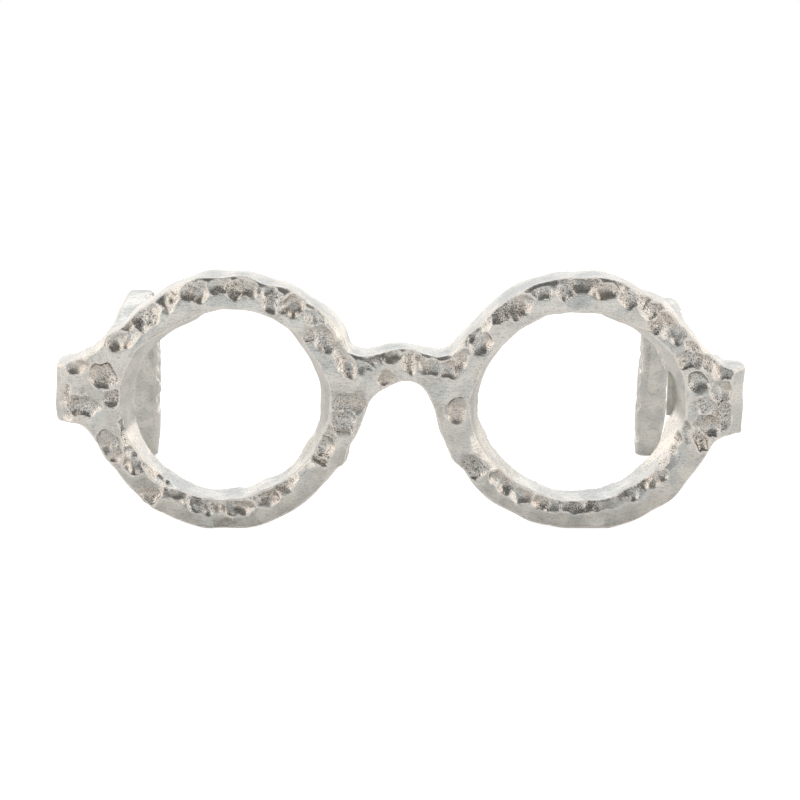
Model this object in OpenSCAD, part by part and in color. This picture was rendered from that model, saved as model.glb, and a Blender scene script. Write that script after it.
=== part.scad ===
// Table-top spectacles of hammered cast aluminium: one front casting and two folding temples.
// Millimetres. +X is to the viewer's right, +Y runs back along the temples, +Z is up.
// The origin is in the middle of the footprint, on the surface that the object stands on.

/* [Front casting] */
// Overall width over the two end pieces
front_w = 320; // [318:1:330]
// Distance between the centres of the two lens rims
rim_spacing = 163; // [159:0.5:167]
// Height of the rims, from the foot to the top
rim_h = 120.6; // [116:0.2:126]
// Outside width of the left rim
rim_w_left = 125; // [122:0.2:127]
// Outside width of the right rim
rim_w_right = 127; // [124:0.2:128]
// Thickness of the front casting from face to back
front_d = 17; // [14:0.5:20]
// Height of the lens opening
lens_h = 89.5; // [86:0.5:95]
// How far the middle of the lens opening lies below the middle of its rim
lens_drop = 0.8; // [0:0.1:2]
// Width of the lens opening at the back of the rim
lens_w = 89.6; // [86:0.5:92]
// Extra width of the lens opening at the front of the rim, from its slanting sides
lens_flare = 10; // [4:0.5:12]
// How far the outer edge of the rim falls away towards the front face
rim_bevel = 2.4; // [1:0.1:3.5]

/* [Bridge] */
// Height of the crown of the bridge above the foot
bridge_top = 88.6; // [85:0.2:92]
// Thickness of the bridge at its middle
bridge_t = 17; // [13:0.5:20]
// Radius of the nose arch under the bridge
nose_r = 17.6; // [15:0.2:18.5]

/* [End pieces] */
// Height of the left end piece at its outer end
end_h_left = 31; // [28:0.5:34]
// Height of the right end piece at its outer end
end_h_right = 34; // [28:0.5:36]
// Height of an end piece where it runs into its rim
end_root_h = 51; // [46:0.5:53]
// Height of the middle of the left end piece above the foot
end_z_left = 67; // [62:0.5:70]
// Height of the middle of the right end piece above the foot
end_z_right = 63.4; // [60:0.5:70]
// Length of the slanting face at the outer end
end_bevel = 6; // [3:0.5:8]

/* [Temples] */
// Thickness of a temple, measured across the object
temple_t = 16.6; // [14:0.2:18]
// Height of a temple at the hinge
temple_root_h = 28; // [26:0.5:30]
// Height of a temple's arm before the ear bend
temple_arm_h = 19; // [16:0.5:22]
// Thickness of the hook from front to back
hook_t = 14.5; // [12:0.5:16]
// Reach of a temple behind its front end
temple_l = 141; // [132:0.5:142]
// Height of the top of the left ear bend above the foot
bend_top_left = 99; // [90:0.5:104]
// Height of the top of the right ear bend above the foot
bend_top_right = 95; // [90:0.5:104]
// How far the hook leans back between the bend and its foot
hook_lean = 8; // [4:0.5:12]
// How far the left temple leans inwards between the hinge and the hook
toe_in_left = 1.6; // [0:0.1:6]
// How far the right temple leans inwards between the hinge and the hook
toe_in_right = 5.4; // [0:0.1:6]

/* [Hinges] */
// Height of a hinge
hinge_h = 24; // [20:0.5:25]
// Outer radius of the hinge barrel
barrel_r = 3.5; // [3:0.1:4]
// Radius of the hinge pin
pin_r = 1.5; // [1:0.1:1.8]
// Thickness of a hinge leaf
leaf_t = 1.6; // [1.2:0.1:2]
// Width of a leaf beyond the barrel
leaf_w = 8.5; // [8:0.5:9]
// Radius of the shank of a leaf screw
screw_r = 1.4; // [1:0.1:1.5]
// Length of a leaf screw under its head
screw_l = 6; // [4:0.5:7]

/* [Hammered surface] */
// Distance between neighbouring hammer blows
blow_pitch = 14; // [11:0.5:18]
// Depth of a hammer blow
blow_depth = 1.2; // [0.2:0.1:1.6]

/* [Clearances] */
// Gap between a temple's front end and the back of the end piece, closed by the stop
butt_gap = 0.4; // [0.3:0.1:0.8]
// Gap between a hinge barrel and the faces that it turns beside
barrel_gap = 0.4; // [0.3:0.1:0.8]
// Radial play of the temple knuckle on its pin
pin_play = 0.05; // [0.02:0.01:0.1]
// Gap between neighbouring knuckles
knuckle_gap = 0.2; // [0.1:0.05:0.4]
// Radial play of a screw in its holes
screw_play = 0.03; // [0.02:0.01:0.08]

/* [Hidden] */

// Side names: -1 is the left side as the viewer sees it, 1 is the right side
LEFT = -1;
RIGHT = 1;

// Stations and section points of the swept bodies
rim_stations = 72;
arm_stations = 16;
bend_stations = 12;
hook_stations = 12;
bridge_stations = 22;
end_stations = 9;
section_points = 16;
// How square a section is: 1 is an ellipse, smaller values have flatter faces
squareness = 0.55;

// Depth of the ground flats under the rims and the hook tips
foot_cut = 1;
// Depth of the milled seats under the hinge leaves
seat_cut = 1;
// Play around a leaf in its seat
seat_play = 0.3;
screw_head_r = 2.5;
screw_head_h = 1;

total_d = front_d + butt_gap + temple_l;
front_y = -total_d / 2;
back_y = front_y + front_d;
butt_y = back_y + butt_gap;
rim_z = rim_h / 2 - foot_cut / 2;
rim_rz = rim_h / 2 + foot_cut / 2;

// The leaf seats, and the hinge axis that stands off them by the same amount each way
seat_y = back_y - seat_cut;
inner_x = front_w / 2 - temple_t;
seat_x = inner_x + seat_cut;
axis_off = barrel_r + barrel_gap;
hinge_x = inner_x - axis_off;
hinge_y = back_y + axis_off;
// From the axis to the seat under either leaf
root_off = axis_off + seat_cut;
leaf_in_x = hinge_x - barrel_r - leaf_w;
leaf_back_y = hinge_y + barrel_r + leaf_w;
// The screws stand off the barrel by more than their heads need, clear of the lens opening's wall
screw_off = 0.3;
leaf_screw_dx = -barrel_r - leaf_w / 2 + screw_off;
leaf_screw_x = hinge_x + leaf_screw_dx;
leaf_screw_y = hinge_y - leaf_screw_dx;
screw_dz = hinge_h * 0.3;
knuckle_h = (hinge_h - 2 * knuckle_gap) / 3;
leaf_notch = 0.4;
pin_fit = 0.01;
pin_head_r = 2.4;
pin_head_h = 0.8;
slot_w = 0.8;
slot_d = 0.5;

// The nose arch, and the legs of the bridge that run down into the rims
arch_z = bridge_top - bridge_t - nose_r;
leg_angle = -35;
rim_gap = rim_spacing - max(rim_w_left, rim_w_right);
leg_taper = 10 - nose_r + 0.6 * rim_gap;
leg_inset = 4.5;
shoulder = 2;
bridge_inset = 0.8;
// The end pieces start inside the rims
end_root_x = rim_spacing / 2 + (lens_w + lens_flare) / 2 + 2;
// Half angle of the calm, ground stretch at the bottom of a rim
foot_angle = 7;

// Share of its section that a hook keeps at its foot
hook_tip = 0.8;
// Where the temple's centre line starts to rise, as a share of its length
arm_level = 0.29;
// Slope at the shoulder, and how far the shoulder lies ahead of the foot and below the bend's top
rise_angle = 32;
shoulder_ahead = 34;
shoulder_drop = 15;
// How far the top of the straight hook lies below the bend's top
hook_drop = 26;
// How far the curves' handles reach from their ends
arm_pull = 28;
bend_pull = 12;
hook_bend_pull = 26;
hook_pull = 24;
// How far the centre line runs on below the foot, for a flat tip
foot_run = 1.4;
// The temple's centre line, in y behind its front end and z
reach = temple_l - hook_t / 2 * hook_tip;
rise = [cos(rise_angle), sin(rise_angle)];
foot_at = [reach, -foot_run];

function bend_top(side) = side == LEFT ? bend_top_left : bend_top_right;
function hook_at(side) = [reach - hook_lean, bend_top(side) - hook_drop];
function hook_dir(side) = unit(foot_at - hook_at(side));
function shoulder_at(side) = [reach - shoulder_ahead, bend_top(side) - shoulder_drop];
function end_z(side) = side == LEFT ? end_z_left : end_z_right;
function end_h(side) = side == LEFT ? end_h_left : end_h_right;
function toe_in(side) = side == LEFT ? toe_in_left : toe_in_right;
function rim_rx(side) = (side == LEFT ? rim_w_left : rim_w_right) / 2;
function rim_x(side) = side * rim_spacing / 2;

// Helpers
function signed_pow(v, p) = sign(v) * pow(abs(v), p);
function mix(a, b, f) = a + (b - a) * f;
function clamp01(v) = max(0, min(1, v));
function smooth(v) = let (c = clamp01(v)) c * c * (3 - 2 * c);
function wrap(i, n) = ((i % n) + n) % n;
function ellipse_r(rx, rz, a) = rx * rz / sqrt(pow(rz * cos(a), 2) + pow(rx * sin(a), 2));
function bezier(p, t) =
  pow(1 - t, 3) * p[0] + 3 * t * pow(1 - t, 2) * p[1] + 3 * t * t * (1 - t) * p[2] + pow(t, 3) * p[3];
function turned(v) = [v[1], -v[0]];
function unit(v) = v / norm(v);

// Corner of a rounded square section from -1 to 1, at angle t
function section_at(t) = [signed_pow(cos(t), squareness), signed_pow(sin(t), squareness)];

// Centre of the hammer blow in cell (i, j) of a surface of nu by nv cells, in cells
function blow_at(i, j, nu, nv, seed) =
  let (k = wrap(i, nu) * 7.13 + wrap(j, nv) * 3.71 + seed)
  [i + 0.5 + 0.42 * sin(k * 97.3), j + 0.5 + 0.42 * sin(k * 61.7 + 40)];

// Depth of the hammered surface at shares u and v of a skin of the given length and girth: shallow
// bowls round the blows, which meet in ridges
function hammered(u, v, length, girth, seed) =
  let (
    nu = max(3, round(length / blow_pitch)),
    nv = max(3, round(girth / blow_pitch)),
    at = [u * nu, v * nv],
    near = min([for (i = [-1:1], j = [-1:1])
      let (gap = blow_at(floor(at[0]) + i, floor(at[1]) + j, nu, nv, seed) - at) gap * gap])
  )
  blow_depth * (1 - min(1, near / 0.6));

// A closed skin over rings of points. A looped skin joins its last ring to its first, and any
// other is closed by flat ends.
module skin(rings, looped = false) {
  n = len(rings);
  m = len(rings[0]);
  spans = looped ? n : n - 1;
  sides = [for (i = [0:spans - 1], j = [0:m - 1])
    let (
      a = i * m + j,
      b = i * m + (j + 1) % m,
      c = ((i + 1) % n) * m + (j + 1) % m,
      d = ((i + 1) % n) * m + j
    )
    each [[a, b, c], [a, c, d]]];
  ends = looped ? [] : [
    [for (j = [m - 1:-1:0]) j],
    [for (j = [0:m - 1]) (n - 1) * m + j]
  ];
  polyhedron(points = [for (r = rings) each r], faces = concat(sides, ends), convexity = 10);
}

// Draws its children on one side of the object, given for the right side
module on_side(side) {
  mirror([side == LEFT ? 1 : 0, 0, 0]) children();
}

// One ring of a rim at angle a. The outside falls away to the front, and the sides of the lens
// opening slant. The bottom is left whole, for the ground flat.
function rim_ring(side, a) =
  let (
    out = ellipse_r(rim_rx(side), rim_rz, a),
    in_back = ellipse_r(lens_w / 2, lens_h / 2, a),
    in_front = ellipse_r((lens_w + lens_flare) / 2, lens_h / 2, a),
    calm = smooth((abs(a - 270) - foot_angle) / foot_angle)
  )
  [for (j = [0:section_points - 1])
    let (
      t = -360 * j / section_points,
      p = section_at(t),
      f = (1 + p[1]) / 2,
      ro = out - rim_bevel * pow(1 - f, 2),
      ri = mix(in_front, in_back, f),
      hit = calm * hammered(a / 360, j / section_points, PI * (rim_h + lens_h) / 2,
        rim_h - lens_h + 2 * front_d, side * 5),
      r = mix(ri, ro, (1 + p[0]) / 2) - hit * cos(t)
    )
    [rim_x(side) + r * cos(a), front_y + front_d * f - hit * sin(t),
      rim_z + r * sin(a) - lens_drop * (1 - p[0]) / 2]];

module rim(side) {
  skin([for (i = [0:rim_stations - 1]) rim_ring(side, 360 * i / rim_stations)], looped = true);
}

// One ring of the bridge at angle a of the nose arch. Its two legs thin out and run down into
// the rims.
function bridge_ring(a) =
  let (
    up = 90 - abs(90 - a),
    leg = clamp01((5 - up) / (5 - leg_angle)),
    r_in = nose_r + leg_taper * pow(leg, 2.5),
    r_out = max(r_in + leg_taper / 4, nose_r + bridge_t
      + shoulder * pow(sin(2 * max(0, up)), 2) - leg_inset * (1 - smooth((up - 5) / 40)))
  )
  [for (j = [0:section_points - 1])
    let (
      t = -360 * (j + 0.5) / section_points,
      p = section_at(t),
      hit = hammered((a - leg_angle) / (180 - 2 * leg_angle), j / section_points, PI * (nose_r + bridge_t),
        2 * (bridge_t + front_d), 3),
      r = mix(r_in, r_out, (1 + p[0]) / 2) - hit * cos(t)
    )
    [r * cos(a), front_y + front_d / 2 + p[1] * (front_d / 2 - bridge_inset) - hit * sin(t),
      arch_z + r * sin(a)]];

module bridge() {
  skin([for (i = [0:bridge_stations - 1])
    bridge_ring(mix(leg_angle, 180 - leg_angle, i / (bridge_stations - 1)))]);
}

// One ring of a right-hand end piece at share f of its length from the rim outwards. It flares
// into the rim, and its outer end slants back from the face.
function end_ring(side, f) =
  let (
    x = mix(end_root_x, front_w / 2, f),
    half_h = end_h(side) / 2 + (end_root_h - end_h(side)) / 2 * pow(1 - f, 2.4),
    nose = smooth((x - front_w / 2 + end_bevel) / end_bevel),
    face_y = front_y + nose * front_d * 0.25,
    tip = 1 - 0.06 * nose
  )
  [for (j = [0:section_points - 1])
    let (
      t = 360 * (j + 0.5) / section_points,
      p = section_at(t),
      hit = hammered(f, j / section_points, front_w / 2 - end_root_x, 2 * (end_h(side) + front_d),
        side * 9 + 2) * (1 - 0.7 * nose)
    )
    [x, mix(face_y, back_y, (1 + p[1]) / 2) - hit * max(-1, sin(t) * 0.9),
      end_z(side) + p[0] * half_h * tip - hit * cos(t)]];

module end_piece(side) {
  on_side(side) skin([for (i = [0:end_stations - 1]) end_ring(side, i / (end_stations - 1))]);
}

// The milled seat of a front leaf and its two screw holes
module front_leaf_seat(side) {
  on_side(side) translate([0, 0, end_z(side)]) {
    translate([leaf_in_x - seat_play, seat_y, -hinge_h / 2 - seat_play])
      cube([inner_x - leaf_in_x + seat_play, seat_cut + front_d, hinge_h + 2 * seat_play]);
    for (dz = [-screw_dz, screw_dz])
      translate([leaf_screw_x, seat_y + 1, dz]) rotate([90, 0, 0])
        cylinder(r = screw_r + screw_play, h = screw_l + 1, $fn = 32);
  }
}

// What is ground off the bottom of both rims, so that they stand on flats
module foot_grinding() {
  translate([-front_w, front_y - 1, -foot_cut - 1]) cube([2 * front_w, front_d + 2, foot_cut + 1]);
}

module front_frame() {
  color("#c4c3bc") difference() {
    union() {
      for (side = [LEFT, RIGHT]) {
        rim(side);
        end_piece(side);
      }
      bridge();
    }
    for (side = [LEFT, RIGHT]) front_leaf_seat(side);
    foot_grinding();
  }
}

// Centre line of a right-hand temple, in y behind its front end and z: the arm, the ear bend and
// the hook, as curves that share their tangents
function arm_curve(side) = let (end = shoulder_at(side))
  [[0, end_z(side)], [arm_level * temple_l, end_z(side)], end - arm_pull * rise, end];
function bend_curve(side) = let (start = shoulder_at(side), end = hook_at(side))
  [start, start + bend_pull * rise, end - hook_bend_pull * hook_dir(side), end];
function hook_curve(side) = let (start = hook_at(side), handle = hook_pull * hook_dir(side))
  [start, start + handle, foot_at - handle, foot_at];

// One ring of a temple: the curve it is on, the share t of it, and its half height and half
// thickness
function temple_ring(side, curve, t, along, half_h, half_t) =
  let (
    at = bezier(curve, t),
    ahead = unit(bezier(curve, t + 0.01) - bezier(curve, t - 0.01)),
    across = t == 0 && along == 0 ? [0, 1] : -turned(ahead),
    x_mid = front_w / 2 - temple_t / 2 - toe_in(side) * at[0] / temple_l
  )
  [for (j = [0:section_points - 1])
    let (
      a = 360 * j / section_points,
      p = section_at(a),
      hit = hammered(along, j / section_points, temple_l + bend_top(side), 2 * (temple_arm_h + temple_t),
        side * 3 + 8) * smooth(along * 12) * smooth((1 - along) * 12),
      up = p[1] * half_h - hit * sin(a),
      yz = at + across * up
    )
    [x_mid + p[0] * half_t - hit * cos(a), butt_y + max(0, yz[0]), max(0, yz[1])]];

function temple_rings(side) = concat(
  [for (i = [0:arm_stations - 1])
    let (t = i / arm_stations)
    temple_ring(side, arm_curve(side), t, 0.45 * t, mix(temple_root_h, temple_arm_h, smooth(t * 1.6)) / 2,
      temple_t / 2)],
  [for (i = [0:bend_stations - 1])
    let (t = i / bend_stations)
    temple_ring(side, bend_curve(side), t, 0.45 + 0.25 * t, mix(temple_arm_h, hook_t, smooth(t)) / 2,
      temple_t / 2)],
  [for (i = [0:hook_stations])
    let (t = i / hook_stations, tip = 1 - (1 - hook_tip) * pow(t, 6))
    temple_ring(side, hook_curve(side), t, 0.7 + 0.3 * t, hook_t / 2 * tip, temple_t / 2 * tip)]
);

// The milled seat of a temple leaf and its two screw holes
module temple_leaf_seat(side) {
  on_side(side) translate([0, 0, end_z(side)]) {
    translate([hinge_x, butt_y - 1, -hinge_h / 2 - seat_play])
      cube([seat_x - hinge_x, leaf_back_y - butt_y + 1 + seat_play, hinge_h + 2 * seat_play]);
    for (dz = [-screw_dz, screw_dz])
      translate([seat_x - 1, leaf_screw_y, dz]) rotate([0, 90, 0])
        cylinder(r = screw_r + screw_play, h = screw_l + 1, $fn = 32);
  }
}

module temple(side) {
  color("#bcbbb4") difference() {
    on_side(side) skin(temple_rings(side));
    temple_leaf_seat(side);
  }
}

// A hinge knuckle with its root, at height z, on the leaf that lies towards -Y of the axis
module knuckle(z) {
  translate([0, 0, z]) {
    cylinder(r = barrel_r, h = knuckle_h, $fn = 48);
    translate([-barrel_r, -root_off, 0]) cube([barrel_r, root_off, knuckle_h]);
  }
}

// A leaf in its own frame: the axis is the origin, and the plate lies towards -X on a face that
// looks towards +Y
module leaf(knuckles, bore_r) {
  difference() {
    union() {
      translate([-barrel_r - leaf_w, -root_off, -hinge_h / 2]) cube([leaf_w - leaf_notch, leaf_t, hinge_h]);
      for (z = knuckles) {
        knuckle(z);
        translate([-barrel_r - leaf_notch - 1, -root_off, z]) cube([leaf_notch + 2, leaf_t, knuckle_h]);
      }
    }
    translate([0, 0, -hinge_h / 2 - 1]) cylinder(r = bore_r, h = hinge_h + 2, $fn = 48);
    for (dz = [-screw_dz, screw_dz])
      translate([leaf_screw_dx, 1 - root_off + leaf_t, dz]) rotate([90, 0, 0])
        cylinder(r = screw_r + screw_play, h = leaf_t + 2, $fn = 32);
  }
}

module hinge_front_leaf(side) {
  color("#a9a8a2") on_side(side) translate([hinge_x, hinge_y, end_z(side)])
    leaf([-hinge_h / 2, hinge_h / 2 - knuckle_h], pin_r + pin_fit);
}

module hinge_temple_leaf(side) {
  color("#a9a8a2") on_side(side) translate([hinge_x, hinge_y, end_z(side)])
    mirror([1, 1, 0]) leaf([-knuckle_h / 2], pin_r + pin_play);
}

module hinge_pin(side) {
  color("#8f8e89") on_side(side) translate([hinge_x, hinge_y, end_z(side)])
    rotate_extrude($fn = 48)
      polygon([
        [0, -hinge_h / 2 - pin_head_h], [pin_head_r * 0.6, -hinge_h / 2 - pin_head_h],
        [pin_head_r, -hinge_h / 2 - pin_head_h / 2], [pin_head_r, -hinge_h / 2], [pin_r, -hinge_h / 2],
        [pin_r, hinge_h / 2], [pin_head_r, hinge_h / 2], [pin_head_r, hinge_h / 2 + pin_head_h / 2],
        [pin_head_r * 0.6, hinge_h / 2 + pin_head_h], [0, hinge_h / 2 + pin_head_h]
      ]);
}

// A slotted pan-head screw, its head on z = 0 and its shank down
module leaf_screw() {
  difference() {
    rotate_extrude($fn = 48)
      polygon([
        [0, -screw_l], [screw_r * 0.6, -screw_l], [screw_r, -screw_l + screw_r], [screw_r, 0],
        [screw_head_r, 0], [screw_head_r, screw_head_h * 0.45], [screw_head_r * 0.7, screw_head_h],
        [0, screw_head_h]
      ]);
    translate([-screw_head_r - 1, -slot_w / 2, screw_head_h - slot_d])
      cube([2 * screw_head_r + 2, slot_w, slot_d + 1]);
  }
}

module front_leaf_screws(side) {
  color("#b5b4ae") on_side(side)
    for (dz = [-screw_dz, screw_dz])
      translate([leaf_screw_x, seat_y + leaf_t, end_z(side) + dz]) rotate([-90, 0, 0]) leaf_screw();
}

module temple_leaf_screws(side) {
  color("#b5b4ae") on_side(side)
    for (dz = [-screw_dz, screw_dz])
      translate([seat_x - leaf_t, leaf_screw_y, end_z(side) + dz]) rotate([0, -90, 0]) leaf_screw();
}

front_frame();
temple(LEFT);  // temple_left
temple(RIGHT);  // temple_right
hinge_front_leaf(LEFT);  // hinge_front_leaf_left
hinge_front_leaf(RIGHT);  // hinge_front_leaf_right
hinge_temple_leaf(LEFT);  // hinge_temple_leaf_left
hinge_temple_leaf(RIGHT);  // hinge_temple_leaf_right
hinge_pin(LEFT);  // hinge_pin_left
hinge_pin(RIGHT);  // hinge_pin_right
front_leaf_screws(LEFT);  // front_leaf_screws_left
front_leaf_screws(RIGHT);  // front_leaf_screws_right
temple_leaf_screws(LEFT);  // temple_leaf_screws_left
temple_leaf_screws(RIGHT);  // temple_leaf_screws_right
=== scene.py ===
"""Table-top spectacles of hammered cast aluminium: the finished surfaces of the castings, the
hinge hardware's finish, a pale floor and soft studio light.

Lengths are millimetres wherever a name doesn't say otherwise, and become metres in the meshes.
"""

import logging
import math
from dataclasses import dataclass
from enum import Enum
from typing import ClassVar

import bpy
import numpy as np
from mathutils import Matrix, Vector


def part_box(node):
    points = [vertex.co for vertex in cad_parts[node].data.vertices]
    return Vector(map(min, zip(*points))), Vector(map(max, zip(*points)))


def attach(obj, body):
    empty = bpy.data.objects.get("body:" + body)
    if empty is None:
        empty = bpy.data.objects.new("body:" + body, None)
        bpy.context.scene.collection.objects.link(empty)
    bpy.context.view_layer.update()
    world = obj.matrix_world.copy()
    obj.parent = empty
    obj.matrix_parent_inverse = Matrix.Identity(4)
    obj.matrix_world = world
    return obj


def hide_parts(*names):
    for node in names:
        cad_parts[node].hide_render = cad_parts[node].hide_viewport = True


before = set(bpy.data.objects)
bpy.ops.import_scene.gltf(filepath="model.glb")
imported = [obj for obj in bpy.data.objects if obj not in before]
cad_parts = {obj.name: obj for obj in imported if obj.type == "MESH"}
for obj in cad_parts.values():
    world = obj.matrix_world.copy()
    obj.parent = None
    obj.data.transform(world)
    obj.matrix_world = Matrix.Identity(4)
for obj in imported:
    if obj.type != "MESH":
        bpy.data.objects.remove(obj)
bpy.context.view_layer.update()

MM: float = 0.001
LOG: logging.Logger = logging.getLogger("spectacles")

Array = np.ndarray


class Side(Enum):
    """The two sides of the object, as the viewer sees them."""

    LEFT = -1
    RIGHT = 1


class Edge(Enum):
    """The places round a rim's section that a hammer blow can land on."""

    FACE = "front face"
    BACK_OUTER = "back outer corner"
    BACK_INNER = "back inner corner"
    BACK = "back face"


def smooth_step(low: float, high: float, value: Array) -> Array:
    """Rises smoothly from 0 at low to 1 at high.

    Args:
        low: where the rise starts.
        high: where it ends.
        value: the values to place on the rise.

    Returns:
        The share of the rise at each value.
    """
    t = np.clip((value - low) / (high - low), 0.0, 1.0)
    return t * t * (3.0 - 2.0 * t)


def blended_low(a: Array, b: Array, reach: float) -> Array:
    """The lower of two fields, rounded where they are within reach of each other."""
    h = np.maximum(reach - np.abs(a - b), 0.0) / reach
    return np.minimum(a, b) - h * h * reach / 4.0


def blended_high(a: Array, b: Array, reach: float) -> Array:
    """The higher of two fields, rounded where they are within reach of each other."""
    return -blended_low(-a, -b, reach)


def rounded_pair(across: Array, depth: Array, radius: float) -> Array:
    """Joins two face distances of a section into one, with a rounded corner between them.

    Args:
        across: signed distance to the first pair of faces, negative inside.
        depth: signed distance to the second pair of faces, negative inside.
        radius: radius of the corner.

    Returns:
        The signed distance to the rounded section.
    """
    u, v = across + radius, depth + radius
    outside = np.hypot(np.maximum(u, 0.0), np.maximum(v, 0.0))
    return outside + np.minimum(np.maximum(u, v), 0.0) - radius


@dataclass(frozen=True)
class Waviness:
    """Gentle hand-made unevenness: a sum of waves in seeded directions.

    length is about that of the waves, and varies by spread. height is that of a single wave as
    strong as their sum.
    """

    seed: int
    length: float
    height: float
    waves: int = 8
    spread: tuple[float, float] = (0.7, 1.5)

    def at(self, points: Array) -> Array:
        """The height of the unevenness.

        Args:
            points: where to work it out.

        Returns:
            The height at each point.
        """
        rng = np.random.default_rng(self.seed)
        total = np.zeros(len(points))
        for _ in range(self.waves):
            heading = rng.normal(size=3)
            heading *= math.tau / (self.length * rng.uniform(*self.spread)) / np.linalg.norm(heading)
            total += np.sin(points @ heading + rng.uniform(0.0, math.tau))
        return total * self.height / math.sqrt(self.waves / 2.0)


class Cloud:
    """Points sorted along their longest direction, so that near ones are found quickly."""

    def __init__(self, points: Array) -> None:
        """Sorts the points.

        Args:
            points: the points, one a row.
        """
        self.points = points
        self.axis = int(np.ptp(points, axis=0).argmax())
        self.order = np.argsort(points[:, self.axis], kind="stable")
        self.sorted = points[self.order, self.axis]

    def near(self, place: Array, reach: float) -> Array:
        """The indices of the points within reach of a place.

        Args:
            place: the place.
            reach: the distance, measured along each axis.

        Returns:
            The indices.
        """
        middle = place[self.axis]
        first, last = np.searchsorted(self.sorted, (middle - reach, middle + reach))
        chosen = self.order[first:last]
        return chosen[np.abs(self.points[chosen] - place).max(axis=1) < reach]


@dataclass(frozen=True)
class Blow:
    """One hammer blow: a shallow bowl cut into the surface.

    at is the point of the uncut surface under the middle of the blow, out points straight out
    of it and along is the bowl's long direction. The bowl comes back up to the point's own
    level at half_length and half_width.

    MOST_TILT is the most that a blow leans against the face it lands on, and LEAN_SHARE the
    share of its lean that goes into its depth. The bowl's floor rises with POWER, and more
    steeply by STEEPER outside its outline. The cut ends at REACH times the longer of its
    halves, and FADE lifts it clear of the metal from FADE_FROM of that on.
    """

    MOST_TILT: ClassVar[float] = math.radians(17.0)
    LEAN_SHARE: ClassVar[float] = 0.6
    POWER: ClassVar[float] = 1.2
    STEEPER: ClassVar[float] = 0.4
    REACH: ClassVar[float] = 1.5
    FADE: ClassVar[float] = 9.0
    FADE_FROM: ClassVar[float] = 0.7

    at: Array
    out: Array
    along: Array
    half_length: float
    half_width: float
    bite: float

    @classmethod
    def settled(
        cls, at: Array, face: Array, out: Array, along: Array, size: tuple[float, float], bite: float
    ) -> "Blow":
        """A blow that leans against the face it lands on, and goes deeper for it.

        Args:
            at: the middle of the mark, on the face.
            face: straight out of the face there.
            out: straight out of the mark's floor.
            along: its long direction.
            size: its half length along that direction, and its half width.
            bite: how much deeper it goes than its lean alone needs.

        Returns:
            The blow.
        """
        tilt = math.acos(min(out @ face, 1.0))
        if tilt > cls.MOST_TILT:
            out = math.sin(cls.MOST_TILT) * out + math.sin(tilt - cls.MOST_TILT) * face
            out = out / np.linalg.norm(out)
            along = along - (along @ out) * out
            along = along / np.linalg.norm(along)
        lean = math.hypot(size[0] * (along @ face), size[1] * (np.cross(out, along) @ face))
        return cls(at, out, along, size[0], size[1], cls.LEAN_SHARE * lean + bite)

    @property
    def reach(self) -> float:
        """How far from its middle the blow can cut."""
        return self.REACH * max(self.half_length, self.half_width)

    def cut(self, points: Array) -> Array:
        """The field of what the blow removes.

        Args:
            points: where to work it out.

        Returns:
            The field at each point, positive in the bowl.
        """
        away = points - self.at
        t = away @ self.along
        w = away @ np.cross(self.out, self.along)
        share = (t / self.half_length) ** 2 + (w / self.half_width) ** 2
        rise = share**self.POWER + self.STEEPER * np.maximum(share - 1.0, 0.0) ** 2
        bowl = away @ self.out + self.bite * (1.0 - rise)
        far = np.linalg.norm(away, axis=1) / self.reach
        return bowl - self.FADE * smooth_step(self.FADE_FROM, 1.0, far)


def skin_of(values: Array, origin: Array, cell: float) -> tuple[Array, Array]:
    """Wraps a closed skin of four-sided faces round the negative part of a field.

    Args:
        values: the field on a grid.
        origin: the grid's lowest corner.
        cell: the grid's spacing.

    Returns:
        The skin's points, and its faces as indices of points.
    """
    inside = values < 0.0
    cells = np.array(values.shape) - 1
    count = int(cells.prod())
    total = np.zeros((3, count))
    hits = np.zeros(count)
    rings = []
    for axis in range(3):
        low = [slice(None)] * 3
        high = [slice(None)] * 3
        low[axis], high[axis] = slice(None, -1), slice(1, None)
        crossed = inside[tuple(low)] != inside[tuple(high)]
        at = np.argwhere(crossed)
        f_low = values[tuple(low)][crossed]
        f_high = values[tuple(high)][crossed]
        place = at.astype(float)
        place[:, axis] += f_low / (f_low - f_high)
        u, v = (axis + 1) % 3, (axis + 2) % 3
        corners = []
        for du, dv in ((0, 0), (-1, 0), (-1, -1), (0, -1)):
            owner = at.copy()
            owner[:, u] += du
            owner[:, v] += dv
            flat = (owner[:, 0] * cells[1] + owner[:, 1]) * cells[2] + owner[:, 2]
            corners.append(flat)
            hits += np.bincount(flat, minlength=count)
            for k in range(3):
                total[k] += np.bincount(flat, weights=place[:, k], minlength=count)
        ring = np.stack(corners, axis=1)
        outward = inside[tuple(low)][crossed]
        ring[~outward] = ring[~outward][:, ::-1]
        rings.append(ring)
    used = np.nonzero(hits)[0]
    number = np.full(count, -1)
    number[used] = np.arange(len(used))
    points = origin + cell * (total[:, used] / hits[used]).T
    return points, number[np.concatenate(rings)]


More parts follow.
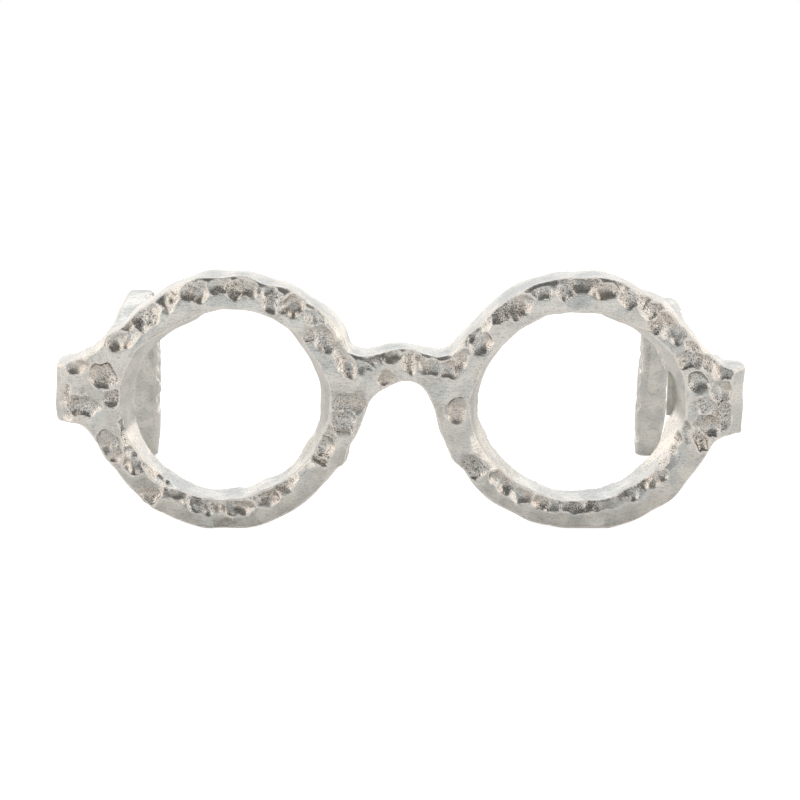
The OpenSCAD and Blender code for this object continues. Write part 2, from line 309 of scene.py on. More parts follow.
class Casting:
    """A hammered casting, given as a field that is negative inside the metal.

    A subclass gives the uncut body and the blows. The class works out the skin, settles its
    points on the surface and marks the bowls and ridges for the finish.

    name, body and node are the names of the new piece, of the body that it rides on and of the
    solid that it replaces. cell is the grid's spacing, margin its room round the metal, and
    block how many cells are tried for metal at once. bowl_shade_and_grain is how much the bowls'
    marks show: their pebbling, and the shade and glints painted into their colour.

    A blow lands only where the point probe above it is clear of the metal. Its outline is
    ragged by waves of ragged_length and ragged_height, by ragged_depth of that from front to
    back, and its border is rounded over blend. step is the length of a small step. The skin's
    points are moved to the surface in passes, each by settle of what is missing, with
    least_slope as the least square of the gradient. bowl_depths are where a bowl's mark starts
    and where it is full, and ridge_gain is how strongly a turn of the skin counts.
    """

    name: str = "casting"
    body: str = "root"
    node: str = ""
    cell: float = 0.8
    block: int = 4
    margin: float = 3.0
    grid_bottom: float = -2.0
    bowl_shade_and_grain: float = 1.0
    probe: float = 3.0
    clear: float = 1.0
    ragged_length: float = 5.0
    ragged_height: float = 0.35
    ragged_depth: float = 0.3
    blend: float = 0.25
    step: float = 0.05
    passes: int = 2
    settle: float = 0.9
    least_slope: float = 0.25
    bowl_depths: tuple[float, float] = (0.15, 0.8)
    ridge_gain: float = 1.6

    def bounds(self) -> tuple[Array, Array]:
        """The lowest and highest corner of the grid that the skin is sought in."""
        raise NotImplementedError

    def uncut(self, points: Array) -> Array:
        """The field of the body before the blows, negative inside."""
        raise NotImplementedError

    def blows(self) -> list[Blow]:
        """The hammer blows."""
        raise NotImplementedError

    def fitted(self, points: Array, values: Array) -> Array:
        """The field after the cuts that are milled or ground once the hammering is done."""
        return values

    def landed(self) -> list[Blow]:
        """Leaves out the blows that would land where another part of the body is.

        Returns:
            The blows that land on open surface.
        """
        blows = self.blows()
        probes = [
            blow.at + self.probe * blow.out + share * blow.half_length * blow.along
            for blow in blows for share in (-1.0, 0.0, 1.0)
        ]
        above = self.uncut(np.array(probes)).reshape(-1, 3).min(axis=1)
        return [blow for blow, gap in zip(blows, above) if gap > self.clear]

    def hammered(self, points: Array, blows: list[Blow]) -> tuple[Array, Array]:
        """The field after the blows.

        Args:
            points: where to work it out.
            blows: the blows.

        Returns:
            The field, and how far the blows lie above the uncut body there.
        """
        body = self.uncut(points)
        values = body.copy()
        cloud = Cloud(points)
        ragged = [Waviness(60 + k, self.ragged_length, self.ragged_height) for k in range(3)]
        uneven = np.stack([wave.at(points) for wave in ragged], axis=1)
        uneven[:, 1] *= self.ragged_depth
        for blow in blows:
            near = cloud.near(blow.at, blow.reach)
            cut = blow.cut(points[near] + uneven[near])
            values[near] = blended_high(values[near], cut, self.blend)
        return self.fitted(points, values), values - body

    def slope(self, points: Array, blows: list[Blow]) -> tuple[Array, Array, Array]:
        """The field and its gradient, by small steps.

        Args:
            points: where to work them out.
            blows: the blows.

        Returns:
            The field, its gradient, and how deep in a blow each point lies.
        """
        values, bowl = self.hammered(points, blows)
        slope = np.empty_like(points)
        for k in range(3):
            ahead = points.copy()
            ahead[:, k] += self.step
            slope[:, k] = (self.hammered(ahead, blows)[0] - values) / self.step
        return values, slope, bowl

    def sampled(self, low: Array, sizes: Array, blows: list[Blow]) -> Array:
        """The field on a grid, worked out only where metal can be near.

        Args:
            low: the grid's lowest corner.
            sizes: its number of points along each axis.
            blows: the blows.

        Returns:
            The field on the whole grid, with 1 where no metal is near.
        """
        def lattice(counts: Array, start: Array, gap: float) -> Array:
            """The points of an even grid."""
            axes = [start[k] + gap * np.arange(counts[k]) for k in range(3)]
            return np.stack(np.meshgrid(*axes, indexing="ij"), axis=-1).reshape(-1, 3)

        wide = self.block * self.cell
        blocks = -(-sizes // self.block)
        middles = lattice(blocks, low + (wide - self.cell) / 2.0, wide)
        close = (self.uncut(middles) < wide * 1.1).reshape(blocks)
        for k in range(3):
            close = close.repeat(self.block, axis=k)
        close = close[tuple(slice(size) for size in sizes)]
        values = np.ones(sizes)
        values[close] = self.hammered(low + self.cell * np.argwhere(close), blows)[0]
        return values

    def build(self) -> bpy.types.Object:
        """Makes the casting's mesh.

        Returns:
            The object, in place and named, with its surface marks as attributes.
        """
        blows = self.landed()
        low, high = self.bounds()
        sizes = np.ceil((high - low) / self.cell).astype(int) + 1
        points, faces = skin_of(self.sampled(low, sizes, blows), low, self.cell)
        for _ in range(self.passes):
            values, slope, bowl = self.slope(points, blows)
            steep = np.maximum((slope**2).sum(axis=1), self.least_slope)
            step = np.clip(values / steep, -self.cell, self.cell)
            points = points - step[:, None] * slope * self.settle
        return self.as_object(points, faces, slope, bowl)

    def as_object(self, points: Array, faces: Array, slope: Array, bowl: Array) -> bpy.types.Object:
        """Turns points and faces into an object with the marks that the finish reads.

        Args:
            points: the skin's points.
            faces: its faces.
            slope: the field's gradient at each point.
            bowl: how deep in a blow each point lies.

        Returns:
            The new object.
        """
        mesh = bpy.data.meshes.new(self.name)
        mesh.vertices.add(len(points))
        mesh.vertices.foreach_set("co", (points * MM).astype(np.float32).ravel())
        mesh.loops.add(faces.size)
        mesh.loops.foreach_set("vertex_index", faces.astype(np.int32).ravel())
        mesh.polygons.add(len(faces))
        mesh.polygons.foreach_set("loop_start", np.arange(0, faces.size, 4, dtype=np.int32))
        mesh.update(calc_edges=True)
        mesh.validate()
        mesh.shade_smooth()
        marks = {
            "bowl": smooth_step(*self.bowl_depths, bowl) * self.bowl_shade_and_grain,
            "ridge": self.ridges(points, faces, slope),
        }
        for name, value in marks.items():
            layer = mesh.attributes.new(name, "FLOAT", "POINT")
            layer.data.foreach_set("value", value.astype(np.float32))
        made = bpy.data.objects.new(self.name, mesh)
        bpy.context.scene.collection.objects.link(made)
        return made

    def ridges(self, points: Array, faces: Array, slope: Array) -> Array:
        """How sharply the skin turns.

        Args:
            points: the skin's points.
            faces: its faces.
            slope: the field's gradient at each point.

        Returns:
            A value for each point: above 0.5 on a ridge, below it in a hollow.
        """
        normal = slope / np.linalg.norm(slope, axis=1)[:, None]
        total = np.zeros_like(points)
        hits = np.zeros(len(points))
        for a in range(4):
            here, there = faces[:, a], faces[:, (a + 1) % 4]
            for k in range(3):
                total[:, k] += np.bincount(here, weights=points[there, k], minlength=len(points))
            hits += np.bincount(here, minlength=len(points))
        rise = ((points - total / hits[:, None]) * normal).sum(axis=1)
        return np.clip(0.5 + rise / self.cell * self.ridge_gain, 0.0, 1.0)


@dataclass(frozen=True)
class Hit:
    """A blow on a rim as a maker would name it.

    angle and radius are its place on the front face, and half_length and half_width its reach
    round the rim and across it. turn leans the cut from the front towards the outside, yaw
    towards the rising angle, and skew turns the long axis. A blow on another edge sits on that
    edge, moved by shift.
    """

    angle: float
    radius: float
    half_length: float
    half_width: float
    bite: float
    turn: float = 0.0
    yaw: float = 0.0
    skew: float = 0.0
    edge: Edge = Edge.FACE
    shift: float = 0.0


@dataclass(frozen=True)
class Dent:
    """A blow on the front face, by place; up and side lean its cut, roll turns its long axis."""

    x: float
    z: float
    bite: float
    up: float = 0.0
    side: float = 0.0
    half_length: float = 8.0
    half_width: float = 8.0
    roll: float = 0.0


@dataclass
class FrontCasting(Casting):
    """Both rims, the bridge and the end pieces, cast in one.

    The openings are lens_flare wider in front than at the back, and low_flare more at the
    bottom. right_steep is the share of that flare which the right rim lacks at its outer end.
    top_chamfer and low_chamfer are what the chamfer under the rims' tops and the one along the
    lower half of the openings take off, and a lean is the sine and cosine of a slope's angle
    to the front. Each end piece flares by end_flare into its rim over end_run, and is
    end_thinning thinner at its outer top. Beyond slant_x it slopes back.

    spread and strength are how much wider and deeper the marks of the tables below are cut,
    and back_inset and back_turn place the even blows near the corners of the back.

    A name that ends in _span gives where something sets in and where it is full. bevel_span,
    top_span, low_span and end_up_span are heights, arch_span and near_span distances from the
    arch's middle, and side_span and end_span places across the object.
    """

    name: str = "front_casting"
    body: str = "front"
    node: str = "front_frame"
    depth: float = 17.0
    corner: float = 0.6
    face_inset: float = 0.25
    rim_wave: Waviness = Waviness(4, 19.0, 0.35)
    face_wave: Waviness = Waviness(7, 17.0, 0.25)
    grid_top: float = 126.0

    # The rims and their openings
    rim_spacing: float = 163.0
    rim_z: float = 60.05
    rim_fillet: float = 7.0
    lens_rx: float = 44.8
    lens_rz: float = 45.5
    lens_flare: float = 5.0
    low_flare: float = 2.2
    right_steep: float = 0.3

    # The middle of the bridge's arch
    arch_x: float = 0.6
    arch_z: float = 54.0

    # The bevel of the outline and the two chamfers
    bevel: float = 2.4
    bevel_span: tuple[float, float] = (50.0, 75.0)
    arch_span: tuple[float, float] = (24.0, 32.0)
    top_chamfer: float = 2.2
    top_lean: tuple[float, float] = (0.5, 0.87)
    top_span: tuple[float, float] = (62.0, 84.0)
    near_span: tuple[float, float] = (19.0, 26.0)
    side_span: tuple[float, float] = (128.0, 138.0)
    low_chamfer: float = 2.0
    low_lean: tuple[float, float] = (0.42, 0.91)
    low_span: tuple[float, float] = (60.0, 36.0)

    # The end pieces: half the height of the left and the right one, and how far the middle of
    # each lies below the hinge's
    half_end: tuple[float, float] = (15.4, 17.3)
    end_drop: tuple[float, float] = (0.6, 1.5)
    end_from: float = 118.0
    end_run: float = 26.0
    end_flare: float = 10.5
    end_thinning: float = 1.6
    end_span: tuple[float, float] = (142.0, 156.0)
    end_up_span: tuple[float, float] = (60.0, 70.0)
    end_fillet: float = 9.0
    slant_x: float = 153.5
    slant_lean: tuple[float, float] = (0.6, 0.8)
    seat_gap: float = 0.3

    # The hammer marks; sought is how deep behind the plane of the front the surface under a
    # mark is looked for, and in what steps
    strength: float = 1.7
    spread: float = 1.3
    sought: tuple[float, float, float] = (-0.5, 7.0, 0.1)
    slope_step: float = 0.4
    back_inset: float = 3.5
    back_turn: float = 168.0

    # Outer radius of each rim by angle in degrees
    left_outline: tuple[tuple[float, float], ...] = (
        (0, 62), (30, 65.4), (40, 65), (50, 62.8), (60, 63), (70, 61), (80, 61.6), (90, 60.3),
        (100, 61), (110, 60), (120, 59.2), (140, 59.8), (160, 62), (180, 62), (200, 63.2), (210, 61.7),
        (220, 60.8), (230, 62.1), (240, 60.8), (250, 61.4), (270, 60.6), (290, 60.7),
        (310, 60), (320, 60.2), (330, 60), (340, 60.2), (350, 62.2),
    )
    right_outline: tuple[tuple[float, float], ...] = (
        (0, 62), (30, 63.6), (40, 63.3), (50, 62.6), (60, 60.8), (70, 61.4), (80, 61.2), (90, 59.8),
        (110, 60.4), (120, 59.9), (130, 59), (140, 59.6), (150, 61.4), (160, 63.4), (180, 63.4),
        (200, 62.6), (220, 61), (240, 60.2), (250, 60.6), (260, 60), (270, 61.4), (280, 61.6),
        (290, 63), (300, 63.8), (310, 64.9), (320, 65.3), (330, 66.1), (340, 65.6),
    )
    # How far each lens opening departs from an even oval, by angle in degrees
    left_lens: tuple[tuple[float, float], ...] = (
        (0, -0.8), (20, -1.6), (30, -2), (50, -1.3), (60, -0.4), (70, -1.3), (90, -1.4), (100, -3),
        (110, -4.3), (130, -4), (150, -2), (180, 0), (220, 0.6), (250, 0.3), (260, -0.6),
        (280, -1), (290, -2), (330, -2.2), (350, -1.2),
    )
    right_lens: tuple[tuple[float, float], ...] = (
        (0, 3.4), (20, 2.2), (40, -0.2), (50, -1), (60, -2.6), (70, -3.3), (80, -2.7),
        (100, -3.5), (110, -2.2), (120, -3.6), (140, -4), (150, -3.7), (170, -2), (180, -0.7),
        (200, -1), (230, -2.3), (250, -1.2), (270, 0), (290, 1), (310, 2), (340, 3),
    )
    # Radii of the bridge's arch and of its top, round the arch's middle, by angle in degrees
    arch_inside: tuple[tuple[float, float], ...] = (
        (-38, 33.4), (-30, 26.2), (-24, 22), (-10, 18.8), (0, 17.3), (45, 16.7), (90, 16.7),
        (120, 15.6), (150, 15.6), (166, 16.6), (178, 18.4), (204, 25), (212, 30), (218, 34),
    )
    arch_outside: tuple[tuple[float, float], ...] = (
        (-10, 34), (50, 37), (60, 34), (72, 32.8), (90, 33.2), (108, 32.4), (118, 33.4), (128, 37),
        (190, 34),
    )

    def __post_init__(self) -> None:
        """Reads the casting's place from the frame."""
        low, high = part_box(self.node)
        self.front_y = low.y / MM
        self.back_y = self.front_y + self.depth
        self.half_w = high.x / MM + 1.2
        leaves = {side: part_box(f"hinge_front_leaf_{side.name.lower()}") for side in Side}
        self.seats = {side: (a / MM, b / MM) for side, (a, b) in leaves.items()}
        self.end_z = {side: (a.z + b.z) / 2.0 for side, (a, b) in self.seats.items()}

    def bounds(self) -> tuple[Array, Array]:
        """The grid's corners, clear of the casting."""
        return (
            np.array([-self.half_w - self.margin, self.front_y - self.margin, self.grid_bottom]),
            np.array([self.half_w + self.margin, self.back_y + self.margin, self.grid_top]),
        )

    def rim_x(self, side: Side) -> float:
        """Where the middle of a rim lies across the object."""
        return side.value * self.rim_spacing / 2.0

    def outer_radius(self, side: Side, angle: Array) -> Array:
        """The outer radius of a rim at each angle, in degrees."""
        stops = np.array(self.left_outline if side is Side.LEFT else self.right_outline)
        return np.interp(np.mod(angle, 360.0), stops[:, 0], stops[:, 1], period=360.0)

    def lens_radius(self, side: Side, angle: Array, share: Array | float) -> Array:
        """The radius of the lens opening.

        Args:
            side: which rim.
            angle: the angle round the rim, in degrees.
            share: how far back in the rim, from 0 at the front to 1 at the back.

        Returns:
            The radius.
        """
        c, s = np.cos(np.radians(angle)), np.sin(np.radians(angle))
        steep = self.right_steep * np.clip(c, 0.0, 1.0) if side is Side.RIGHT else 0.0
        rx = self.lens_rx + self.lens_flare * (1.0 - share) * (1.0 - steep)
        even = rx * self.lens_rz / np.sqrt((self.lens_rz * c) ** 2 + (rx * s) ** 2)
        even = even + self.low_flare * (1.0 - share) * np.clip(-s, 0.0, 1.0)
        stops = np.array(self.left_lens if side is Side.LEFT else self.right_lens)
        return even + np.interp(np.mod(angle, 360.0), stops[:, 0], stops[:, 1], period=360.0)

    def end_outline(self, side: Side, x: Array, z: Array) -> Array:
        """The field of an end piece's outline in the plane of the front.

        Args:
            side: which end piece.
            x: across the object.
            z: the height.

        Returns:
            The field, negative inside the outline.
        """
        out = x * side.value
        share = np.clip((self.half_w - out) / self.end_run, 0.0, 1.0)
        share_up = smooth_step(*self.end_up_span, z) * smooth_step(*self.end_span, out)
        k = 0 if side is Side.LEFT else 1
        half = self.half_end[k] - self.end_thinning * share_up
        up = np.abs(z - self.end_z[side] + self.end_drop[k]) - half - self.end_flare * share**2.4
        return blended_high(up, np.maximum(out - self.half_w, self.end_from - out), 2.0)

    def bridge_outline(self, x: Array, z: Array) -> Array:
        """The field of the bridge's outline in the plane of the front.

        Args:
            x: across the object.
            z: the height.

        Returns:
            The field, negative inside the outline.
        """
        dx, dz = x - self.arch_x, z - self.arch_z
        r = np.hypot(dx, dz)
        angle = np.degrees(np.arctan2(dz, dx))
        turn = np.where(angle < -90.0, angle + 360.0, angle)
        inside, outside = np.array(self.arch_inside), np.array(self.arch_outside)
        field = np.maximum(
            np.interp(turn, inside[:, 0], inside[:, 1]) - r,
            r - np.interp(turn, outside[:, 0], outside[:, 1]),
        )
        return np.maximum(field, np.abs(turn - 90.0) - 128.0)

    def uncut(self, points: Array) -> Array:
        """The field of the casting before the blows.

        Args:
            points: where to work it out.

        Returns:
            The field at each point, negative inside the metal.
        """
        x, y, z = points[:, 0], points[:, 1], points[:, 2]
        back = y - self.front_y
        share = np.clip(back / self.depth, 0.0, 1.0)
        outline = self.bridge_outline(x, z)
        hole = np.full(len(points), -1e3)
        for side in Side:
            dx, dz = x - self.rim_x(side), z - self.rim_z
            r = np.hypot(dx, dz)
            angle = np.degrees(np.arctan2(dz, dx))
            outline = blended_low(outline, r - self.outer_radius(side, angle), self.rim_fillet)
            outline = blended_low(outline, self.end_outline(side, x, z), self.end_fillet)
            hole = np.maximum(hole, self.lens_radius(side, angle, share) - r)
        from_arch = np.hypot(x - self.arch_x, z - self.arch_z)
        fall = (0.15 + 0.85 * smooth_step(*self.bevel_span, z)) * smooth_step(*self.arch_span, from_arch)
        outline = outline + self.bevel * (1.0 - share) ** 2 * fall
        wave = self.rim_wave.at(points)
        across = np.maximum(outline, hole) + wave
        depth = np.abs(back - self.depth / 2.0) - self.depth / 2.0 + self.face_inset
        depth = depth + self.face_wave.at(points)
        wide = (self.top_chamfer + wave) * (1.0 - 0.5 * smooth_step(*self.side_span, np.abs(x)))
        above = smooth_step(*self.near_span, from_arch)
        top = self.top_lean[0] * outline - self.top_lean[1] * back
        top = top + wide * smooth_step(*self.top_span, z) * above
        low = self.low_lean[0] * hole - self.low_lean[1] * back
        low = low + (self.low_chamfer + wave) * smooth_step(*self.low_span, z)
        depth = blended_high(depth, np.maximum(top, low), 0.5)
        body = rounded_pair(across, depth, self.corner)
        slant = (np.abs(x) - self.slant_x) * self.slant_lean[0] - back * self.slant_lean[1]
        return blended_high(body, slant, 1.2)

    def fitted(self, points: Array, values: Array) -> Array:
        """Grinds the feet flat and mills the seats of the hinge leaves.

        Args:
            points: where to work the field out.
            values: the hammered field there.

        Returns:
            The field after both cuts.
        """
        values = np.maximum(values, -points[:, 2])
        for low, high in self.seats.values():
            reach = np.abs(points[:, 0] - (low.x + high.x) / 2.0) - (high.x - low.x) / 2.0 - self.seat_gap
            tall = np.abs(points[:, 2] - (low.z + high.z) / 2.0) - (high.z - low.z) / 2.0 - self.seat_gap
            deep = low.y - points[:, 1]
            values = np.maximum(values, -np.maximum(np.maximum(reach, tall), deep))
        return values

    def hit(self, side: Side, hit: Hit) -> Blow:
        """Places a maker's hit on a rim.

        Args:
            side: which rim.
            hit: the hit.

        Returns:
            The blow in the object's own frame.
        """
        angle = np.array([hit.angle])
        radial = np.array([math.cos(math.radians(hit.angle)), 0.0, math.sin(math.radians(hit.angle))])
        tangent = np.array([-radial[2], 0.0, radial[0]])
        front = np.array([0.0, -1.0, 0.0])
        outer = float(self.outer_radius(side, angle)[0])
        inner = float(self.lens_radius(side, angle, 1.0)[0])
        radius, depth, turn = {
            Edge.FACE: (hit.radius, 0.0, 0.0),
            Edge.BACK_OUTER: (outer - self.back_inset, self.depth, self.back_turn),
            Edge.BACK_INNER: (inner + self.back_inset, self.depth, -self.back_turn),
            Edge.BACK: ((outer + inner) / 2.0, self.depth, 180.0),
        }[hit.edge]
        lean = math.radians(turn + hit.turn)
        yaw, skew = math.radians(hit.yaw), math.radians(hit.skew)
        level = math.sin(lean) * radial + math.cos(lean) * front
        across = math.cos(lean) * radial - math.sin(lean) * front
        out = math.cos(yaw) * level + math.sin(yaw) * tangent
        run = math.cos(yaw) * tangent - math.sin(yaw) * level
        along = math.cos(skew) * run + math.sin(skew) * across
        centre = np.array([self.rim_x(side), self.front_y + depth, self.rim_z])
        at = centre + radius * radial + hit.shift * across
        if hit.edge is Edge.FACE:
            return self.marked(at, out, along, hit)
        return Blow(at, out, along, hit.half_length, hit.half_width, hit.bite)

    def marked(self, at: Array, out: Array, along: Array, mark: Hit | Dent) -> Blow:
        """A blow on the front, moved back to the uncut surface behind its place.

        Args:
            at: its place in the plane of the front.
            out: straight out of its floor.
            along: its long direction.
            mark: the hit or dent that gives its size and bite.

        Returns:
            The blow.
        """
        depths = np.arange(*self.sought)
        column = at + np.outer(depths, [0.0, 1.0, 0.0])
        at = column[int((self.uncut(column) < 0.0).argmax())]
        step = self.slope_step * np.eye(3)
        slope = self.uncut(at + step) - self.uncut(at - step)
        face = slope / np.linalg.norm(slope)
        size = (mark.half_length * self.spread, mark.half_width * self.spread)
        return Blow.settled(at, face, out, along, size, mark.bite * self.strength)

    def dent(self, dent: Dent) -> Blow:
        """Places a dent on the front face.

        Args:
            dent: the dent.

        Returns:
            The blow in the object's own frame.
        """
        up, side, roll = (math.radians(a) for a in (dent.up, dent.side, dent.roll))
        out = np.array([math.sin(side) * math.cos(up), -math.cos(side) * math.cos(up), math.sin(up)])
        across = np.cross(out, np.array([0.0, 0.0, 1.0]))
        across = across / np.linalg.norm(across)
        rise = np.cross(across, out)
        along = math.cos(roll) * across + math.sin(roll) * rise
        at = np.array([dent.x, self.front_y, dent.z])
        return self.marked(at, out, along, dent)

    def blows(self) -> list[Blow]:
        """All the hammering of the front casting.

        Returns:
            The blows that show in front, and the even ones of the back.
        """
        made = [self.dent(dent) for dent in FRONT_DENTS]
        for side in Side:
            made += [self.hit(side, hit) for hit in FRONT_HITS[side]]
            made += [self.hit(side, hit) for hit in self.even_hits(side)]
        return made

    def even_hits(self, side: Side) -> list[Hit]:
        """Even hammering of a rim's back and of its two corners.

        Args:
            side: which rim.

        Returns:
            The hits, jittered from an even spacing by a seeded draw.
        """
        rng = np.random.default_rng(30 + side.value)
        rows = (
            (Edge.BACK_OUTER, 24, 5.0, 0.7),
            (Edge.BACK_INNER, 19, 4.5, 0.9),
            (Edge.BACK, 20, 6.0, 0.6),
        )
        hits = []
        for edge, count, size, bite in rows:
            for i in range(count):
                scale = rng.uniform(0.75, 1.2)
                hits.append(Hit(
                    angle=360.0 * (i + rng.uniform(-0.3, 0.3)) / count,
                    radius=0.0,
                    half_length=size * scale,
                    half_width=size * scale * 1.1,
                    bite=bite * rng.uniform(0.6, 1.2),
                    yaw=rng.uniform(-8.0, 8.0),
                    skew=rng.uniform(-25.0, 25.0),
                    edge=edge,
                    shift=rng.uniform(-2.5, 2.5),
                ))
        return hits


# The hits round each rim that show in front: angle, radius, half length, half width, bite, turn,
# yaw and skew
FRONT_HITS: dict[Side, tuple[Hit, ...]] = {
    Side.LEFT: (
        Hit(1.6, 55.5, 4.7, 7.6, 0.3, 4, -6),
        Hit(20.8, 57.6, 7.8, 3.6, 0.45, 34),
        Hit(33, 54.2, 6, 3.8, 0.45, 26),
        Hit(40.4, 51.5, 3.1, 2.9, 0.16, 2, -12),
        Hit(44.6, 56.8, 4.5, 3.6, 0.33, 29),
        Hit(55.6, 54.3, 4, 5.7, 0.48, 21, -6, 25),
        Hit(62.7, 52.9, 3.6, 5.7, 0.42, 6, 24),
        Hit(69, 55.5, 4, 3.2, 0.27, 23, -8),
        Hit(74.2, 54.6, 4.3, 3.4, 0.3, 16, 12),
        Hit(79.5, 53.9, 3.6, 3.4, 0.36, 23),
        Hit(85.7, 53.6, 3.8, 3.4, 0.3, 4, -24),
        Hit(91.5, 53.6, 5.2, 3.4, 0.39, 23),
        Hit(99, 53.4, 4.7, 5, 0.42, 6, 24, 20),
        Hit(106.8, 53, 4, 3.4, 0.33, 18, -8),
        Hit(112.5, 54.8, 3.6, 3.2, 0.3, 23, 6),
        Hit(119, 50.8, 2.9, 2.5, 0.21, 10),
        Hit(119.5, 55.6, 4, 3.2, 0.27, 21, -10),
        Hit(128.4, 54.5, 7.2, 5.2, 0.51, 10, 18),
        Hit(139, 56.5, 4.5, 3.4, 0.3, 21, -8),
        Hit(147.4, 56.3, 4.5, 3.4, 0.3, 10, 16),
        Hit(145.7, 52, 4.9, 2.9, 0.27, 18, -10),
        Hit(202.7, 57.6, 3.8, 3.4, 0.27, 0, 14),
        Hit(207.6, 49.6, 4.9, 4.2, 0.36, -16, 10),
        Hit(215.6, 50.9, 4.5, 5, 0.39, -8, -16),
        Hit(223.2, 48.4, 4.7, 3.4, 0.39, -18, 14),
        Hit(226.7, 56.1, 5.6, 5, 0.24, -4, 8),
        Hit(232.9, 48.6, 4, 3.4, 0.39, -23, -10),
        Hit(241, 48.8, 4, 3.2, 0.3, -21),
        Hit(249.3, 48.8, 4.3, 3.4, 0.33, -16, 12),
        Hit(261.8, 50.6, 5.8, 3.8, 0.42, -18, -8),
        Hit(268.2, 56.8, 3.8, 2.9, 0.21, 10),
        Hit(271.2, 50.6, 5.2, 3.8, 0.42, -21, 10),
        Hit(279.3, 51.4, 4.3, 3.6, 0.42, -23, -8),
        Hit(290.5, 49, 4.9, 3.6, 0.36, -14, 16),
        Hit(298, 49, 3.8, 3.2, 0.3, -18, -8),
        Hit(306.1, 48.6, 5.2, 3.8, 0.48, -23),
        Hit(317.5, 48.6, 6.3, 3.8, 0.39, -14, -18),
        Hit(328.5, 50.6, 1.5, 5.2, 0.2, -6, -12),
        Hit(334, 50, 4.7, 4.2, 0.36, -8, 18),
        Hit(343.2, 50.8, 4.5, 3.8, 0.33, -8, -6),
        Hit(351, 54.4, 5, 4.6, 0.4, 8),
    ),
    Side.RIGHT: (
        Hit(23.9, 54.6, 4.3, 3.8, 0.36, 6, -18),
        Hit(26.1, 58.5, 4, 3.2, 0.36, 29),
        Hit(39.9, 54.2, 7.4, 4.4, 0.48, 18, 6),
        Hit(47.2, 50.2, 3.6, 3.4, 0.33, 0, -22),
        Hit(51.4, 54, 3.6, 4.4, 0.42, 23, 6),
        Hit(59, 55.6, 3.6, 3.2, 0.27, 21, -10),
        Hit(66.2, 53.6, 4, 3.8, 0.33, 10, -14),
        Hit(70, 56.4, 3.4, 2.9, 0.3, 29),
        Hit(75.5, 53.2, 5.8, 4, 0.42, 18, 12),
        Hit(84, 55.4, 3.4, 2.7, 0.27, 23),
        Hit(91.2, 54.2, 6, 4, 0.48, 23),
        Hit(98, 52.9, 4, 3.4, 0.3, 10, -16),
        Hit(106.6, 53.4, 4.3, 2.5, 0.3, 23),
        Hit(118, 53.9, 6.5, 5.2, 0.48, 6, 16),
        Hit(129.5, 54, 6.3, 5.5, 0.57, 21, -6),
        Hit(139, 57, 3.8, 2.7, 0.27, 23),
        Hit(144.4, 56.1, 3.8, 3.2, 0.33, 23),
        Hit(149.2, 51.8, 4.9, 3.8, 0.33, 6, -14),
        Hit(157, 56.6, 3.8, 3.2, 0.27, 18, 10),
        Hit(184.8, 54.4, 5.2, 4, 0.4, 8, -8),
        Hit(210.2, 55.6, 5.6, 5, 0.45, 6, 14),
        Hit(224.3, 49.8, 4.3, 4, 0.39, -16, 12),
        Hit(233, 50.1, 4, 3.4, 0.33, -10, -14),
        Hit(240, 51.4, 5.6, 3.6, 0.48, -21),
        Hit(250, 49.4, 4, 2.9, 0.27, -16, 14),
        Hit(258.9, 50, 3.1, 3.2, 0.3, -18),
        Hit(270.5, 49.6, 5.2, 2.9, 0.33, -21),
        Hit(282.2, 50.2, 4.3, 3.4, 0.39, -23),
        Hit(291.3, 51.4, 5.2, 4, 0.39, -14, -14),
        Hit(303, 50.4, 4.3, 3.4, 0.42, -21),
        Hit(310.6, 50, 3.8, 3.2, 0.33, -10, 16),
        Hit(318, 52, 4.3, 3.8, 0.45, -18),
        Hit(326.6, 50.6, 4, 3.4, 0.33, -8, -18),
        Hit(338, 51, 4.3, 3.4, 0.3, -8, 12),
    ),
}

